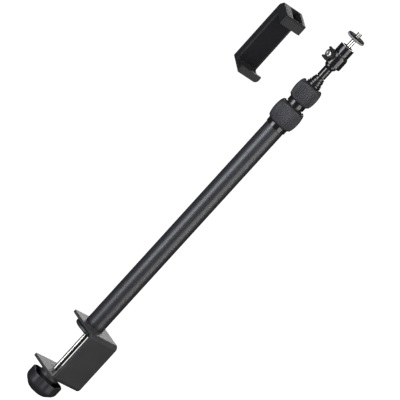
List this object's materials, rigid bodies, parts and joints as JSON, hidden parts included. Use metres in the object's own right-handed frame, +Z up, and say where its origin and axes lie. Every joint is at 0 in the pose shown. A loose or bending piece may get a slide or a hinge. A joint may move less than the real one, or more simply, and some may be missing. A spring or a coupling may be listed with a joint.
{
  "type": "desk clamp phone stand",
  "caption": "Telescopic desk stand with a screw clamp, twist-lock pole, ball head and camera stud, and a detached spring phone holder.",
  "frame": {"origin": "pole axis at the desk top surface, under the upper jaw lining", "axes": "+Z up the pole, clamp open towards +Y, bracket width along X"},
  "size_m": [0.0975, 0.1118, 0.584],
  "materials": {
    "satin_black": "satin powder coat",
    "gloss_black": "polished",
    "matte_black": "fine moulded grain",
    "rubber_black": "matt",
    "nylon_white": "moulded",
    "dark_metal": "satin",
    "chrome": "polished",
    "zinc": "zinc plated",
    "brass": "turned"
  },
  "bodies": {
    "clamp": {"clamp_bracket": "satin_black", "jaw_lining": "rubber_black", "screw_bush": "dark_metal", "base_bolt": "zinc", "pole_base_plug": "nylon_white", "main_tube": "satin_black", "lower_lock_sleeve": "gloss_black", "lower_collet": "nylon_white"},
    "clamp_foot": {"pressure_foot": "satin_black", "foot_pad": "rubber_black"},
    "clamp_knob": {"clamp_knob": "satin_black", "knob_insert": "brass", "clamp_screw": "zinc", "foot_rivet": "zinc"},
    "lower_collar": {"lower_collar_core": "gloss_black", "lower_collar_grip": "rubber_black"},
    "second_section": {"second_tube": "satin_black", "second_tube_guide": "nylon_white", "upper_lock_sleeve": "gloss_black", "upper_collet": "nylon_white"},
    "upper_collar": {"upper_collar_core": "gloss_black", "upper_collar_grip": "rubber_black"},
    "third_section": {"third_tube": "satin_black", "third_tube_guide": "nylon_white", "top_cap": "gloss_black", "head_adapter": "gloss_black", "head_rod": "gloss_black", "head_flange": "gloss_black", "ball_housing": "gloss_black", "ball_cap": "gloss_black", "ball_lower_seat": "nylon_white"},
    "ball_ring": {"ball_upper_ring": "nylon_white"},
    "camera_mount": {"ball_stem": "chrome", "camera_platform": "dark_metal", "platform_pad": "rubber_black", "camera_stud": "zinc"},
    "lock_pin": {"lock_pin": "nylon_white"},
    "wing_knob": {"wing_knob": "satin_black", "lock_screw": "zinc"},
    "phone_holder": {"holder_body": "matte_black", "holder_cover": "matte_black", "cover_screw_1": "zinc", "cover_screw_2": "zinc", "cover_screw_3": "zinc", "cover_screw_4": "zinc", "thread_insert": "brass", "lower_jaw_pad": "rubber_black", "holder_back_pad": "rubber_black", "holder_spring_left": "zinc", "holder_spring_right": "zinc"},
    "holder_jaw": {"holder_slider": "matte_black", "upper_jaw_pad": "rubber_black"}
  },
  "joints": [
    {"name": "clamp_travel", "type": "slide", "parent": "clamp", "child": "clamp_foot", "axis": [0, 0, 1], "range_m": [-0.056, 0]},
    {"name": "clamp_knob_turn", "type": "hinge", "parent": "clamp_foot", "child": "clamp_knob", "pos_m": [0, 0, 0], "axis": [0, 0, 1], "range_deg": [-13441, 0]},
    {"name": "lower_collar_turn", "type": "hinge", "parent": "clamp", "child": "lower_collar", "pos_m": [0, 0, 0.3493], "axis": [0, 0, 1], "range_deg": [0, 180]},
    {"name": "second_section_slide", "type": "slide", "parent": "clamp", "child": "second_section", "axis": [0, 0, 1], "range_m": [0, 0.25]},
    {"name": "upper_collar_turn", "type": "hinge", "parent": "second_section", "child": "upper_collar", "pos_m": [0, 0, 0.3837], "axis": [0, 0, 1], "range_deg": [0, 180]},
    {"name": "third_section_slide", "type": "slide", "parent": "second_section", "child": "third_section", "axis": [0, 0, 1], "range_m": [0, 0.27]},
    {"name": "ball_pan", "type": "hinge", "parent": "third_section", "child": "ball_ring", "pos_m": [0, 0, 0.4512], "axis": [0, 0, 1], "continuous": true},
    {"name": "ball_tilt", "type": "hinge", "parent": "ball_ring", "child": "camera_mount", "pos_m": [0, 0, 0.4512], "axis": [1, 0, 0], "range_deg": [-26, 26]},
    {"name": "lock_pin_travel", "type": "slide", "parent": "third_section", "child": "lock_pin", "axis": [-1, 0, 0], "range_m": [0, 0.0008]},
    {"name": "wing_knob_turn", "type": "hinge", "parent": "lock_pin", "child": "wing_knob", "pos_m": [0, 0, 0.4392], "axis": [-1, 0, 0], "range_deg": [0, 361]},
    {"name": "holder_lift_away", "type": "slide", "parent": "clamp", "child": "phone_holder", "axis": [-0.673, 0.7396, 0], "range_m": [0, 0.12]},
    {"name": "holder_jaw_slide", "type": "slide", "parent": "phone_holder", "child": "holder_jaw", "axis": [-0.1093, -0.0995, 0.989], "range_m": [0, 0.025], "stiffness_N_per_m": 180, "springref_m": -0.03, "deforming": ["holder_spring_left", "holder_spring_right"]}
  ],
  "couplings": [
    {"joint": "clamp_knob_turn", "follows": "clamp_travel", "rad_per_m": 4188.8},
    {"joint": "wing_knob_turn", "follows": "lock_pin_travel", "rad_per_m": 7854}
  ]
}
